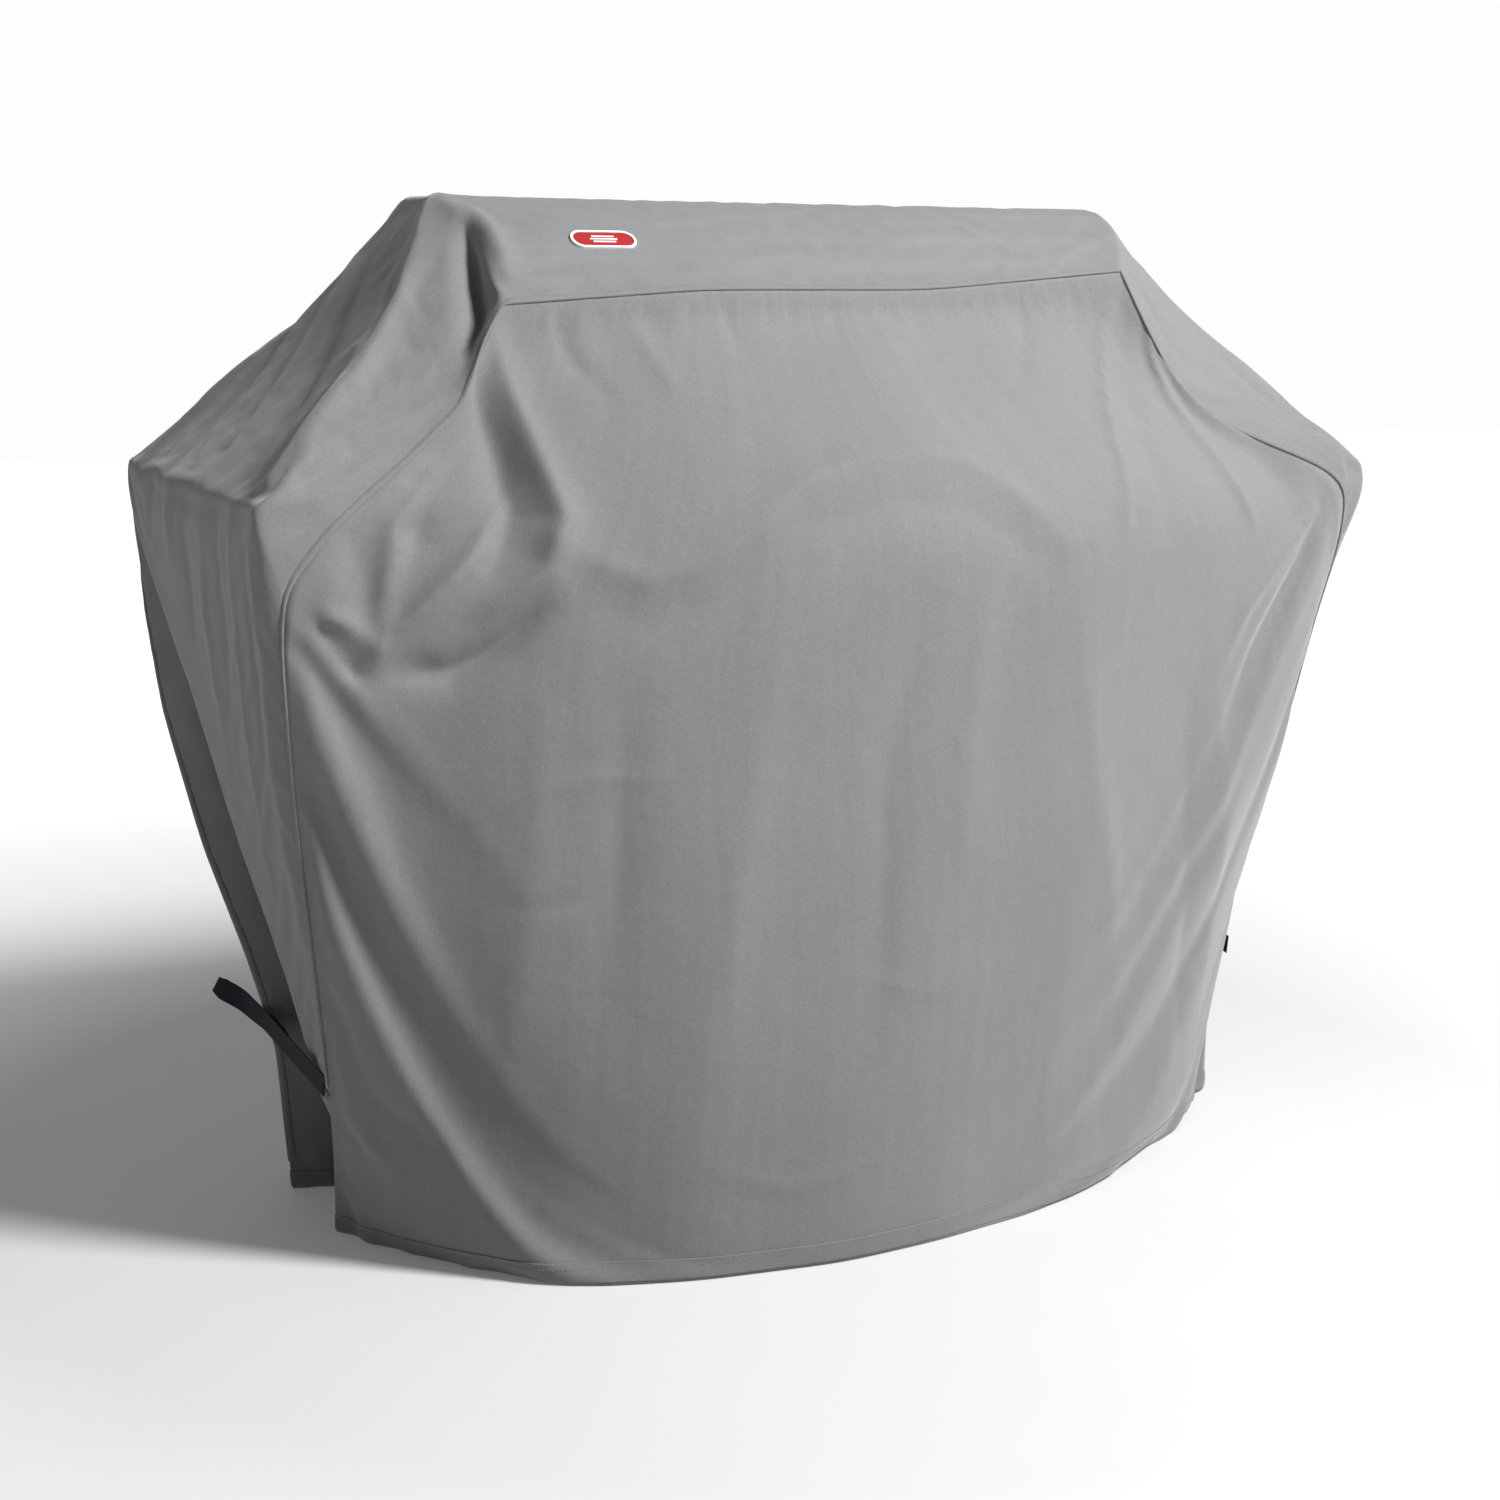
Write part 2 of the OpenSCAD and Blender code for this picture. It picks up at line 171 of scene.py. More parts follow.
def wall(left, right, rows):
    """A front or back cloth: rows from the hem up, columns from left to right."""
    u = np.linspace(0, 1, N_WALL + 1)[:, None]
    lines = [resample(rounded(keys, ROW_RADIUS), N_WALL) for keys in rows]
    bulges = [line - mix(line[0], line[-1], u) for line in lines]
    t = np.linspace(0, 1, len(left))
    flat = np.array(bulges).reshape(len(rows), -1)
    between = np.stack([np.interp(t, ROWS_AT, column) for column in flat.T], axis=1)
    bulge = between.reshape(len(t), N_WALL + 1, 3)
    chord = left[:, None, :] + (right - left)[:, None, :] * u[None]
    grid = chord + bulge
    for _ in range(WALL_SMOOTHING):
        grid[1:-1, 1:-1] = (grid[1:-1, 1:-1] + grid[:-2, 1:-1] + grid[2:, 1:-1]) / 3
    grid[-1] = lines[-1]
    return grid


def rise(v, s):
    """How far such a row has risen from its seams, 0 to 1. s is 0 at the shelf and 1 at the hood."""
    level = mix(0.8, 0.2, s ** 0.8)
    power = 1.2 + 0.5 * s ** 4 + 0.8 * (1 - s) ** 5
    return 1 - (np.maximum(0, np.abs(v) - level) / (1 - level)) ** power


def bow(v, s):
    """Moves a row's points towards the seams at the shelf, where the cloth turns down sharply."""
    sharp = np.sign(v) * (1 - (1 - np.abs(v)) ** 2.2)
    return mix(sharp, v, s)


def shoulder_row(front, back, top_x, top_z, s):
    """A row over the shoulder or hood, from its front seam up to top_x, top_z and down to the back."""
    v = np.linspace(-1, 1, N_BAND + 1)
    along = (bow(v, s) + 1) / 2
    row = mix(front, back, along[:, None])
    up = rise(v, s)
    row[:, 0] = mix(row[:, 0], top_x, up)
    row[:, 2] = mix(row[:, 2], top_z, up)
    return row


# Where the end cloth turns in towards the valley, as a share of the way from front to back seam
LIP_Z = [0, 0.12, 0.2, 0.35, 0.55, 0.7, 0.8]
LIP_LEFT = [0.08, 0.2, 0.5, 0.59, 0.69, 0.87, 1]
LIP_RIGHT = [0.05, 0.1, 0.25, 0.3, 0.3, 0.2, 0.05]


def end_row(front, back, lip_at, side, w):
    """A row of the folded end, hem (w = 1) to shelf (w = 0): round the corner, back to the lip, in to
    the fold and out again."""
    lip = mix(front, back, lip_at)
    lip[0] += side * 0.012 * math.sin(math.pi * min(1, w * 1.4)) * min(1, lip_at * 2)
    span = np.linalg.norm(back - lip)
    spare = max(span * 1.002, BAND_W - np.linalg.norm(lip - front))
    depth = math.sqrt((spare / 2) ** 2 - (span / 2) ** 2)
    apex = (lip + back) / 2 - np.array([side * depth, 0, 0])
    turn = smoothstep(front[2], 0.24, 0.45)
    corner = front + turn * np.array([side * 0.016, 0.014, 0])
    keys = np.array([front, corner, lip, apex, back]) / SCALE
    if np.linalg.norm(lip - front) < 0.05:
        keys = keys[[0, 3, 4]]
    return resample(rounded(keys, 0.014, 200), N_BAND)


def end_rows(front, back, side, lips):
    """Rows from the hem up to the shelf."""
    v = np.linspace(-1, 1, N_BAND + 1)
    shelf = shoulder_row(front[N_DOWN], back[N_DOWN], side * HALF_SHELF, SHELF_TOP * SCALE[2], 0)
    chord = mix(front[N_DOWN], back[N_DOWN], np.linspace(0, 1, N_BAND + 1)[:, None])
    over = shelf - chord
    rows = []
    for i in range(N_DOWN):
        w = 1 - i / N_DOWN
        lip_at = np.interp(front[i][2], np.array(LIP_Z) * SCALE[2], lips)
        row = end_row(front[i].copy(), back[i], lip_at, side, w)
        kept = (1 - w) * np.array([(1 - w) ** 3, (1 - w) ** 5, 1])
        row += over * kept
        if front[i][2] < SLIT_H:
            near_edge = np.clip(1 - (v + 1) / 0.15, 0, 1)[:, None]
            part = smoothstep(SLIT_H - front[i][2], 0, 0.1) * near_edge
            row += part * np.array([-side * SLIT_GAP, SLIT_GAP / 2, 0])
        rows.append(row)
    return rows


def shoulder_rows(front, back, side):
    """Rows from the shelf up to the hood's end."""
    rows = []
    for i in range(N_UP + 1):
        s = i / N_UP
        top_x = side * mix(HALF_SHELF, CREST_X * SCALE[0], s)
        top_z = mix(SHELF_TOP * SCALE[2], CREST_Z, s) - SHOULDER_SAG * math.sin(math.pi * s)
        rows.append(shoulder_row(front[N_DOWN + i], back[N_DOWN + i], top_x, top_z, s))
    return rows


HALF_SHELF = cad_box[1][0] + 0.006         # the cloth turns a little proud of the shelf's end
CREST_Z = cad_box[1][2]
front_left = seam(FRONT_LEFT, FRONT_SHELF)
front_right = seam(FRONT_RIGHT, FRONT_SHELF)
back_left = seam(BACK_LEFT, BACK_SHELF)
back_right = seam(BACK_RIGHT, BACK_SHELF)

hood_front = resample(rounded(FRONT_ROWS[-1], ROW_RADIUS), N_CROWN)
hood_back = resample(rounded(BACK_ROWS[-1], ROW_RADIUS), N_CROWN)
half_crest = CREST_X * SCALE[0]
crown = [
    shoulder_row(hood_front[i], hood_back[i], mix(-1, 1, i / N_CROWN) * half_crest, CREST_Z, 1)
    for i in range(1, N_CROWN)
]
band_grid = np.array(
    end_rows(front_left, back_left, -1, LIP_LEFT)
    + shoulder_rows(front_left, back_left, -1)
    + crown
    + shoulder_rows(front_right, back_right, 1)[::-1]
    + end_rows(front_right, back_right, 1, LIP_RIGHT)[::-1]
)
front_grid = wall(front_left, front_right, FRONT_ROWS)
back_grid = wall(back_left, back_right, BACK_ROWS)

# ---- creases and folds ------------------------------------------------------------

# Each stroke: points along it (x and z on the front and back, x and y on top, y and z on the ends),
# its height out of the cloth (below 0 is a valley) and its half width, both in millimetres
FRONT_STROKES = [
    ([(-.446, 1.02), (-.43, .925), (-.412, .83), (-.435, .775), (-.49, .74)], 21, 20),
    ([(-.468, .975), (-.46, .90), (-.465, .84), (-.49, .79)], -22, 24),
    ([(-.61, .695), (-.55, .755), (-.50, .80), (-.47, .845)], 19, 12),
    ([(-.61, .695), (-.585, .82), (-.53, .88)], 15, 10),
    ([(-.61, .695), (-.645, .725), (-.69, .735)], 17, 9),
    ([(-.59, .675), (-.54, .672), (-.49, .70), (-.45, .735)], -24, 16),
    ([(-.65, .68), (-.62, .672)], -15, 12),
    ([(-.57, .80), (-.55, .84)], -9, 14),
    ([(-.43, .81), (-.385, .785), (-.335, .765), (-.28, .778), (-.21, .82), (-.15, .86),
      (-.08, .885), (.0, .893), (.06, .882), (.12, .845), (.18, .79)], 9, 24),
    ([(-.38, .74), (-.33, .715), (-.25, .75), (-.15, .82), (-.04, .845), (.06, .83),
      (.14, .77)], -6, 34),
    ([(.372, 1.07), (.33, .985), (.294, .90), (.275, .80)], 11, 7),
    ([(.39, 1.055), (.432, .932), (.515, .793)], 13, 8),
    ([(.36, .98), (.35, .90), (.35, .80)], -7, 26),
    ([(.67, .815), (.583, .768), (.496, .693), (.46, .634)], 17, 14),
    ([(.66, .765), (.58, .71), (.52, .64), (.49, .58)], -15, 20),
    ([(.56, .86), (.60, .83)], -6, 18),
    ([(-.20, .70), (-.23, .55), (-.27, .38), (-.29, .22)], 6, 40),
    ([(-.02, .72), (-.07, .58), (-.09, .42), (-.10, .25)], -7, 34),
    ([(.06, .73), (.03, .58), (.02, .44)], 6, 26),
    ([(.20, .68), (.22, .52), (.26, .36), (.29, .2)], 6, 36),
    ([(.44, .66), (.46, .5), (.48, .33), (.49, .16)], 7, 30),
    ([(.39, .6), (.40, .42), (.42, .25), (.44, .1)], -7, 26),
    ([(-.45, .62), (-.47, .45), (-.49, .3), (-.5, .15)], 5, 34),
    ([(-.36, .66), (-.38, .5), (-.40, .33)], -5, 26),
    ([(-.633, .181), (-.605, .155), (-.57, .11)], 7, 9),
    ([(-.61, .21), (-.57, .175), (-.54, .14)], -6, 12),
    ([(-.38, 1.04), (-.36, .99), (-.33, .955)], -5, 12),
    ([(-.30, 1.05), (-.27, 1.0), (-.255, .96)], 4, 12),
    ([(-.17, 1.055), (-.16, 1.0)], -3, 10),
    ([(.24, 1.06), (.22, 1.01), (.19, .97)], -4, 10),
    ([(.30, 1.065), (.285, 1.02)], 3, 9),
    ([(-.52, .52), (-.44, .555), (-.33, .56)], 2.5, 7),
    ([(-.50, .42), (-.42, .43), (-.36, .47)], -2.5, 7),
    ([(.15, .60), (.25, .64), (.36, .65)], 2.5, 7),
    ([(-.12, .33), (-.02, .30), (.08, .33)], 2, 8),
    ([(.28, .42), (.33, .38), (.40, .37)], -2.5, 8),
    ([(-.30, .13), (-.2, .10), (-.08, .12)], 2, 9),
]
BACK_STROKES = [
    ([(-.43, 1.02), (-.42, .9), (-.45, .78)], 13, 26),
    ([(.43, 1.02), (.42, .9), (.45, .78)], 13, 26),
    ([(-.63, .72), (-.53, .76), (-.47, .84)], 9, 18),
    ([(.63, .72), (.53, .76), (.47, .84)], 9, 18),
    ([(-.3, .82), (-.12, .875), (.1, .875), (.3, .82)], 8, 34),
    ([(-.2, .7), (-.22, .5), (-.25, .25)], 6, 38),
    ([(.05, .72), (.03, .5), (.02, .3)], -6, 32),
    ([(.26, .68), (.3, .45), (.32, .2)], 6, 36),
    ([(-.42, .62), (-.45, .4), (-.47, .2)], -6, 28),
    ([(.46, .62), (.47, .42), (.49, .2)], 5, 30),
    ([(-.1, .4), (.02, .36), (.15, .4)], 2.5, 9),
]
TOP_STROKES = [
    ([(-.440, -.05), (-.450, -.09), (-.458, -.13), (-.475, -.16)], -40, 15),
    ([(-.425, -.02), (-.415, -.07), (-.412, -.12)], 14, 12),
    ([(-.45, .03), (-.475, -.02), (-.52, -.07), (-.58, -.115), (-.65, -.155), (-.715, -.185)], 20, 17),
    ([(-.50, .10), (-.60, -.01), (-.70, -.09)], -7, 22),
    ([(-.49, .16), (-.60, .08), (-.71, .02)], 5, 16),
    ([(-.52, .22), (-.62, .19), (-.71, .17)], -4, 18),
    ([(.402, -.09), (.44, -.12), (.47, -.15)], -9, 12),
    ([(.39, -.06), (.41, -.10), (.43, -.13)], 6, 10),
    ([(.47, -.06), (.56, -.10), (.66, -.14)], 8, 18),
    ([(.56, -.12), (.61, -.155), (.64, -.17)], -8, 12),
    ([(.45, .03), (.55, -.01), (.68, -.05)], -5, 20),
    ([(.46, .2), (.58, .25), (.70, .3)], 9, 22),
    ([(-.46, .2), (-.58, .25), (-.70, .3)], 9, 22),
    ([(-.36, -.11), (-.33, -.08), (-.30, -.10)], 4, 9),
    ([(.25, -.10), (.31, -.11), (.35, -.09)], 3.5, 9),
    ([(-.2, -.05), (.0, -.02), (.2, -.04)], 1.5, 14),
]
LEFT_STROKES = [
    ([(-.20, .83), (-.19, .70), (-.175, .52), (-.165, .35)], 5, 9),
    ([(-.17, .84), (-.155, .70), (-.14, .55)], -5, 10),
    ([(-.12, .84), (-.10, .68), (-.09, .50), (-.08, .36)], 5, 11),
    ([(-.06, .84), (-.05, .72), (-.03, .6)], -5, 11),
    ([(.0, .84), (.02, .70), (.01, .55)], 5, 12),
    ([(.07, .84), (.08, .74), (.09, .66)], -5, 12),
    ([(.14, .84), (.15, .75)], 5, 13),
    ([(.22, .84), (.23, .78)], -4, 12),
    ([(-.19, .83), (-.05, .835), (.1, .83), (.25, .835)], -4, 14),
]
RIGHT_STROKES = [(points, height * 0.8, width) for points, height, width in LEFT_STROKES]


def crease(grid, axes, strokes, where, fade):
    """Lifts a grid along its normals by the strokes' heights. where and fade weight each point."""
    normals = grid_normals(grid)
    flat = grid[..., axes]
    lift = np.zeros(grid.shape[:2])
    for points, height, width in strokes:
        line = np.asarray(points) * SCALE[axes]
        best = np.full(lift.shape, np.inf)
        taper = np.zeros(lift.shape)
        lengths = np.linalg.norm(np.diff(line, axis=0), axis=1)
        total, before = lengths.sum(), 0.0
        for a, b, length in zip(line[:-1], line[1:], lengths):
            share = np.clip(((flat - a) @ (b - a)) / length ** 2, 0, 1)
            gap = np.linalg.norm(flat - (a + share[..., None] * (b - a)), axis=-1)
            closer = gap < best
            best = np.where(closer, gap, best)
            run = (before + share * length) / total
            taper = np.where(closer, np.sin(math.pi * (0.12 + 0.76 * run)), taper)
            before += length
        spread = best / (width / 1000)
        round_top = 1 / (1 + spread ** 2) ** 1.5
        lift += height / 1000 * taper * mix(round_top, np.exp(-1.3 * spread), 0.5)
    return grid + normals * (lift * where * fade)[..., None]


def grid_normals(grid):
    """Unit normals of a grid, pointing out of the cover."""
    down, along = np.gradient(grid, axis=0), np.gradient(grid, axis=1)
    normals = np.cross(along, down)
    normals /= np.maximum(np.linalg.norm(normals, axis=-1, keepdims=True), 1e-9)
    return normals * np.sign(np.sum(normals * (grid - CENTRE)))


def edge_fade(shape, reach, hem_free=True):
    """1 inside a panel and 0 on its seams, over reach cells."""
    rows, cols = shape[:2]
    i, j = np.indices((rows, cols))
    near = np.minimum(j, cols - 1 - j)
    if hem_free:
        near = np.minimum(near, rows - 1 - i)
    return smoothstep(near, 0, reach)


HALF_BAND = len(band_grid) // 2
front_grid = crease(front_grid, [0, 2], FRONT_STROKES, 1, edge_fade(front_grid.shape, 4))
back_grid = crease(back_grid, [0, 2], BACK_STROKES, 1, edge_fade(back_grid.shape, 4))
band_fade = edge_fade(band_grid.shape, 4, hem_free=False)
row_at = np.arange(len(band_grid))[:, None]
from_shelf = np.minimum(row_at, len(band_grid) - 1 - row_at) - N_DOWN
band_grid = crease(band_grid, [0, 1], TOP_STROKES, smoothstep(from_shelf, -2, 3), band_fade)
on_end = smoothstep(-from_shelf, -2, 2)
valley = smoothstep(HALF_SHELF - np.abs(band_grid[..., 0]), 0.09, 0.05)
band_grid = crease(band_grid, [1, 2], LEFT_STROKES, on_end * (row_at < HALF_BAND) * valley, band_fade)
band_grid = crease(band_grid, [1, 2], RIGHT_STROKES, on_end * (row_at > HALF_BAND) * valley, band_fade)

# ---- meshes -------------------------------------------------------------------


def mesh_piece(name, points, faces):
    """A new piece in the scene, from points and faces."""
    mesh = bpy.data.meshes.new(name)
    mesh.from_pydata(points, [], faces)
    mesh.update()
    piece = bpy.data.objects.new(name, mesh)
    bpy.context.scene.collection.objects.link(piece)
    return piece


def grid_mesh(name, grid, flip=False):
    """A mesh from a grid of points, with its UVs in metres along the cloth."""
    rows, cols = grid.shape[:2]
    at = np.arange(rows * cols).reshape(rows, cols)
    quads = np.stack([at[:-1, :-1], at[:-1, 1:], at[1:, 1:], at[1:, :-1]], axis=-1).reshape(-1, 4)
    if flip:
        quads = quads[:, ::-1]
    piece = mesh_piece(name, grid.reshape(-1, 3).tolist(), quads.tolist())
    mesh = piece.data
    mid_row = np.linalg.norm(np.diff(grid[rows // 2], axis=0), axis=1)
    mid_col = np.linalg.norm(np.diff(grid[:, cols // 2], axis=0), axis=1)
    across = np.concatenate([[0], np.cumsum(mid_row)])
    along = np.concatenate([[0], np.cumsum(mid_col)])
    uv = np.stack(np.broadcast_arrays(across[None, :], along[:, None]), axis=-1).reshape(-1, 2)
    layer = mesh.uv_layers.new(name="cloth")
    layer.data.foreach_set("uv", uv[quads.reshape(-1)].astype(np.float32).reshape(-1))
    mesh.polygons.foreach_set("use_smooth", np.ones(len(quads), bool))
    mesh.update()
    return piece


def points_of(piece):
    """A piece's points, before its modifiers."""
    flat = np.zeros(len(piece.data.vertices) * 3, np.float32)
    piece.data.vertices.foreach_get("co", flat)
    return flat.reshape(-1, 3).astype(float)


def modify(piece, kind, **settings):
    """Adds a modifier with its settings."""
    modifier = piece.modifiers.new(kind.lower(), kind)
    for name, value in settings.items():
        setattr(modifier, name, value)
    return modifier


def thicken(piece, thickness=CLOTH_T):
    """Smooths a sheet and gives it its thickness, inwards."""
    modify(piece, "SUBSURF", levels=1, render_levels=1, boundary_smooth="PRESERVE_CORNERS")
    modify(piece, "SOLIDIFY", thickness=thickness, offset=-1, use_even_offset=False)


def loft(name, loops):
    """A closed tube through a row of loops, each an equal ring of points."""
    loops = np.asarray(loops, float)
    count, ring = loops.shape[:2]
    at = np.arange(count * ring).reshape(count, ring)
    after = np.roll(at, -1, axis=1)
    quads = np.stack([at[:-1], after[:-1], after[1:], at[1:]], axis=-1).reshape(-1, 4).tolist()
    faces = quads + [at[0][::-1].tolist(), at[-1].tolist()]
    piece = mesh_piece(name, loops.reshape(-1, 3).tolist(), faces)
    piece.data.polygons.foreach_set("use_smooth", np.ones(len(faces), bool))
    return piece


STITCH_TRIS = [(0, 2, 4), (2, 1, 4), (1, 3, 4), (3, 0, 4), (2, 0, 5), (1, 2, 5), (3, 1, 5),
               (0, 3, 5)]     # on its two ends, two sides, top and foot


def stitch_mesh(name, corners):
    """One mesh of many stitches, from the six corners of each."""
    faces = [[6 * i + k for k in tri] for i in range(len(corners)) for tri in STITCH_TRIS]
    return mesh_piece(name, np.asarray(corners).reshape(-1, 3).tolist(), faces)


def stitches(name, path, outward, length=0.0032, gap=0.0018, width=0.0009, height=0.0006):
    """Thread along a path: a row of small raised stitches in one mesh."""
    steps = np.linalg.norm(np.diff(path, axis=0), axis=1)
    run = np.concatenate([[0], np.cumsum(steps)])
    starts = np.arange(0, run[-1] - length, length + gap)

    def at(values, where):
        return np.stack([np.interp(where, run, values[:, k]) for k in range(3)], axis=1)

    a, b, up = at(path, starts), at(path, starts + length), at(outward, starts + length / 2)
    side = np.cross(b - a, up)
    side *= width / 2 / np.maximum(np.linalg.norm(side, axis=1, keepdims=True), 1e-9)
    mid = (a + b) / 2
    low = 0.0004 * up
    top, foot = mid + height * up, mid - 2 * low
    return stitch_mesh(name, np.stack([a - low, b - low, mid + side, mid - side, top, foot], axis=1))


def relax(piece, hold, frames=16, grow=0.012, cap=0.02):
    """A panel's points after it has buckled as cloth, cut a little too large and held at its seams.
    grow is how much too large, and cap how far a point may move."""
    scene = bpy.context.scene
    start = points_of(piece)
    group = piece.vertex_groups.new(name="hold")
    for index, weight in enumerate(hold.reshape(-1)):
        group.add([index], float(weight), "REPLACE")
    cloth = modify(piece, "CLOTH")
    settings = cloth.settings
    settings.quality = 6
    settings.mass = 0.25
    settings.tension_stiffness = 40
    settings.compression_stiffness = 30
    settings.shear_stiffness = 12
    settings.bending_stiffness = 4
    settings.tension_damping = 20
    settings.bending_damping = 2
    settings.air_damping = 3
    settings.vertex_group_mass = "hold"
    settings.pin_stiffness = 1
    settings.shrink_min = -grow
    settings.shrink_max = -grow
    cloth.collision_settings.use_collision = False
    cloth.collision_settings.use_self_collision = False
    cloth.point_cache.frame_start = 1
    cloth.point_cache.frame_end = frames
    for number in range(1, frames + 1):
        scene.frame_set(number)
    shaped = piece.evaluated_get(bpy.context.evaluated_depsgraph_get())
    flat = np.zeros(len(start) * 3, np.float32)
    shaped.data.vertices.foreach_get("co", flat)
    move = flat.reshape(-1, 3) - start
    far = np.linalg.norm(move, axis=1, keepdims=True)
    move *= cap * np.tanh(far / cap) / np.maximum(far, 1e-9)
    piece.modifiers.remove(cloth)
    piece.vertex_groups.remove(group)
    scene.frame_set(1)
    return start + move


def put(piece, points):
    """Moves a piece's points."""
    piece.data.vertices.foreach_set("co", points.astype(np.float32).reshape(-1))
    piece.data.update()


# ---- materials ------------------------------------------------------------------


THREAD_PITCH = 0.0007


class Nodes:
    """Short ways to build one node material."""

    def __init__(self, name, colour, roughness, **shader):
        self.material = bpy.data.materials.new(name)
        self.material.use_nodes = True
        self.tree = self.material.node_tree
        self.shader = self.tree.nodes["Principled BSDF"]
        self.shader.inputs["Base Color"].default_value = (*colour, 1)
        self.shader.inputs["Roughness"].default_value = roughness
        for socket, value in shader.items():
            self.shader.inputs[socket.replace("_", " ")].default_value = value

    def add(self, kind, settings=(), **inputs):
        node = self.tree.nodes.new("ShaderNode" + kind)
        for name, value in dict(settings).items():
            setattr(node, name, value)
        for name, value in inputs.items():
            key = int(name[1:]) if name[1:].isdigit() else name.replace("_", " ")
            self.feed(node.inputs[key], value)
        return node

    def feed(self, socket, value):
        if isinstance(value, bpy.types.NodeSocket):
            self.tree.links.new(value, socket)
        else:
            socket.default_value = value

    def math(self, operation, a, b=0.0):
        return self.add("Math", {"operation": operation}, i0=a, i1=b).outputs[0]

    def noise(self, where, scale, detail=3.0):
        return self.add("TexNoise", Vector=where, Scale=scale, Detail=detail).outputs[0]

    def blend(self, share, a, b):
        node = self.add("Mix", {"data_type": "RGBA"}, i0=share)
        self.feed(node.inputs[6], a)
        self.feed(node.inputs[7], b)
        return node.outputs[2]

    def bump(self, height, distance, strength=1.0, normal=None):
        node = self.add("Bump", Height=height, Distance=distance, Strength=strength)
        if normal is not None:
            self.feed(node.inputs["Normal"], normal)
        self.feed(self.shader.inputs["Normal"], node.outputs[0])
        return node.outputs[0]


def weave(nodes, uv, pitch):
    """Height of a plain weave with the given thread pitch."""
    parts = nodes.add("SeparateXYZ", Vector=uv).outputs
    across = nodes.math("SINE", nodes.math("MULTIPLY", parts[0], 2 * math.pi / pitch))
    along = nodes.math("SINE", nodes.math("MULTIPLY", parts[1], 2 * math.pi / pitch))
    return nodes.math("MULTIPLY", across, along)


def cloth_material(name, colour, dark):
    """Coated woven polyester: fine weave, faint streaks down the cloth and dust."""
    nodes = Nodes(name, colour, 0.78, Sheen_Weight=0.25, Sheen_Roughness=0.5,
                  Specular_IOR_Level=0.35)
    uv = nodes.add("UVMap", {"uv_map": "cloth"}).outputs[0]
    place = nodes.add("TexCoord").outputs["Object"]
    streak_at = nodes.add("Mapping", Vector=uv, Scale=(60, 2.5, 1)).outputs[0]
    streaks = nodes.noise(streak_at, 1.0, 4.0)
    blotch = nodes.noise(place, 5.0, 5.0)
    grain = nodes.math("ADD", nodes.math("MULTIPLY", nodes.noise(place, 900.0, 2.0), 0.5),
                       nodes.math("MULTIPLY", nodes.noise(place, 420.0, 2.0), 0.5))
    share = nodes.math("MULTIPLY", streaks, blotch)
    share = nodes.math("ADD", nodes.math("MULTIPLY", share, 0.5), nodes.math("MULTIPLY", grain, 1.1))
    ramp = nodes.add("MapRange", Value=share, From_Min=0.45, From_Max=0.9)
    nodes.feed(nodes.shader.inputs["Base Color"],
               nodes.blend(ramp.outputs[0], (*dark, 1), (*colour, 1)))
    soft = nodes.bump(nodes.noise(place, 26.0, 4.0), 0.004, 0.3)
    threads = nodes.math("MULTIPLY", weave(nodes, uv, THREAD_PITCH), 0.35)
    nodes.bump(nodes.math("ADD", threads, grain), 0.0003, 0.35, soft)
    return nodes.material


def tape_material(name, colour, pitch, roughness=0.7):
    """Narrow woven tape or webbing with ribs across it."""
    nodes = Nodes(name, colour, roughness, Sheen_Weight=0.03, Specular_IOR_Level=0.2)
    place = nodes.add("TexCoord").outputs["Object"]
    parts = nodes.add("SeparateXYZ", Vector=place).outputs
    level = nodes.math("ADD", parts[0], parts[1])
    run = nodes.math("ADD", level, nodes.math("MULTIPLY", parts[2], 0.3))
    ribs = nodes.math("SINE", nodes.math("MULTIPLY", run, 2 * math.pi / pitch))
    fuzz = nodes.noise(place, 700.0, 3.0)
    tint = nodes.add("MapRange", Value=fuzz, From_Min=0.3, From_Max=0.75)
    pale = tuple(min(1, 2.2 * c + 0.004) for c in colour)
    nodes.feed(nodes.shader.inputs["Base Color"],
               nodes.blend(tint.outputs[0], (*colour, 1), (*pale, 1)))
    nodes.bump(nodes.math("ADD", ribs, fuzz), 0.0005, 0.6)
    return nodes.material


def hard_material(name, colour, roughness, metallic=0.0, coat=0.0):
    """Moulded badge plastic: fine mottling in colour and gloss."""
    nodes = Nodes(name, colour, roughness, Metallic=metallic, Coat_Weight=coat, Coat_Roughness=0.1)
    place = nodes.add("TexCoord").outputs["Object"]
    mottle = nodes.noise(place, 220.0, 4.0)
    shade = tuple(0.82 * c for c in colour)
    nodes.feed(nodes.shader.inputs["Base Color"], nodes.blend(mottle, (*shade, 1), (*colour, 1)))
    rough = nodes.add("MapRange", Value=mottle, To_Min=roughness * 0.8, To_Max=roughness * 1.3)
    nodes.feed(nodes.shader.inputs["Roughness"], rough.outputs[0])
    nodes.bump(mottle, 0.0001, 0.3)
    return nodes.material


CLOTH = cloth_material("coated_cloth", (0.158, 0.16, 0.165), (0.111, 0.113, 0.118))
HEM = cloth_material("hem_cloth", (0.147, 0.149, 0.154), (0.107, 0.109, 0.114))
THREAD = tape_material("thread", (0.13, 0.133, 0.14), 0.0012)
BINDING = tape_material("binding_tape", (0.14, 0.143, 0.15), 0.0016)
WEBBING = tape_material("webbing", (0.003, 0.004, 0.008), 0.0018)
HOOKS = tape_material("hook_and_loop", (0.01, 0.011, 0.014), 0.0007, 0.9)
SILVER = hard_material("badge_silver", (0.86, 0.87, 0.89), 0.35, metallic=0.25)
RED = hard_material("badge_red", (0.3, 0.008, 0.012), 0.4, coat=0.15)

# ---- the three cloths -------------------------------------------------------------


